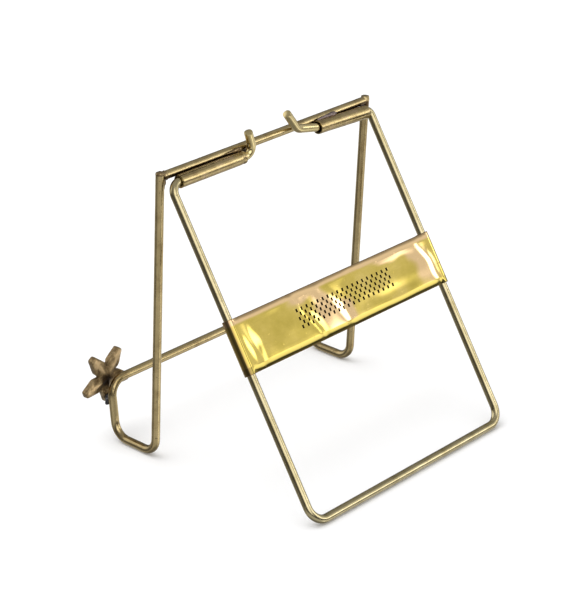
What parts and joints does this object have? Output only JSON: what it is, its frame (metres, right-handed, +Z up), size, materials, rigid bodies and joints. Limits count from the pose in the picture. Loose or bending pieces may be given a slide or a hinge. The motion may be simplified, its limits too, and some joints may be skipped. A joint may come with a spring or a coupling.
{
  "type": "photo album stand",
  "caption": "Folding brass wire easel: bent-rod display frame with ledges and front lip, hinged prop frame with stop pegs, sheet plate and star ornament.",
  "frame": {"origin": "middle of the stand's footprint box, on the surface it stands on, open as in use", "axes": "+Z up; -Y is the front, where the album faces; +X is the right as someone facing the front sees it"},
  "size_m": [0.111, 0.0994, 0.1126],
  "materials": {
    "rod_brass": "drawn rod, satin with aged film",
    "tube_brass": "drawn tube, satin",
    "sheet_brass": "polished sheet",
    "cast_brass": "cast, antique patina",
    "solder": "heat-stained solder"
  },
  "bodies": {
    "stand": {"display_frame": "rod_brass", "top_bar": "rod_brass", "hinge_tube_right": "tube_brass", "hinge_tube_left": "tube_brass", "corner_solder_right": "solder", "corner_solder_left": "solder", "tube_solder_right": "solder", "tube_solder_left": "solder", "star_ornament": "cast_brass", "star_solder": "solder"},
    "prop": {"prop_frame": "rod_brass", "name_plate": "sheet_brass"}
  },
  "joints": [
    {"name": "prop_fold", "type": "hinge", "parent": "stand", "child": "prop", "pos_m": [-0.004, -0.01428, 0.10154], "axis": [-1, 0, 0], "range_deg": [0, 34.7]}
  ]
}
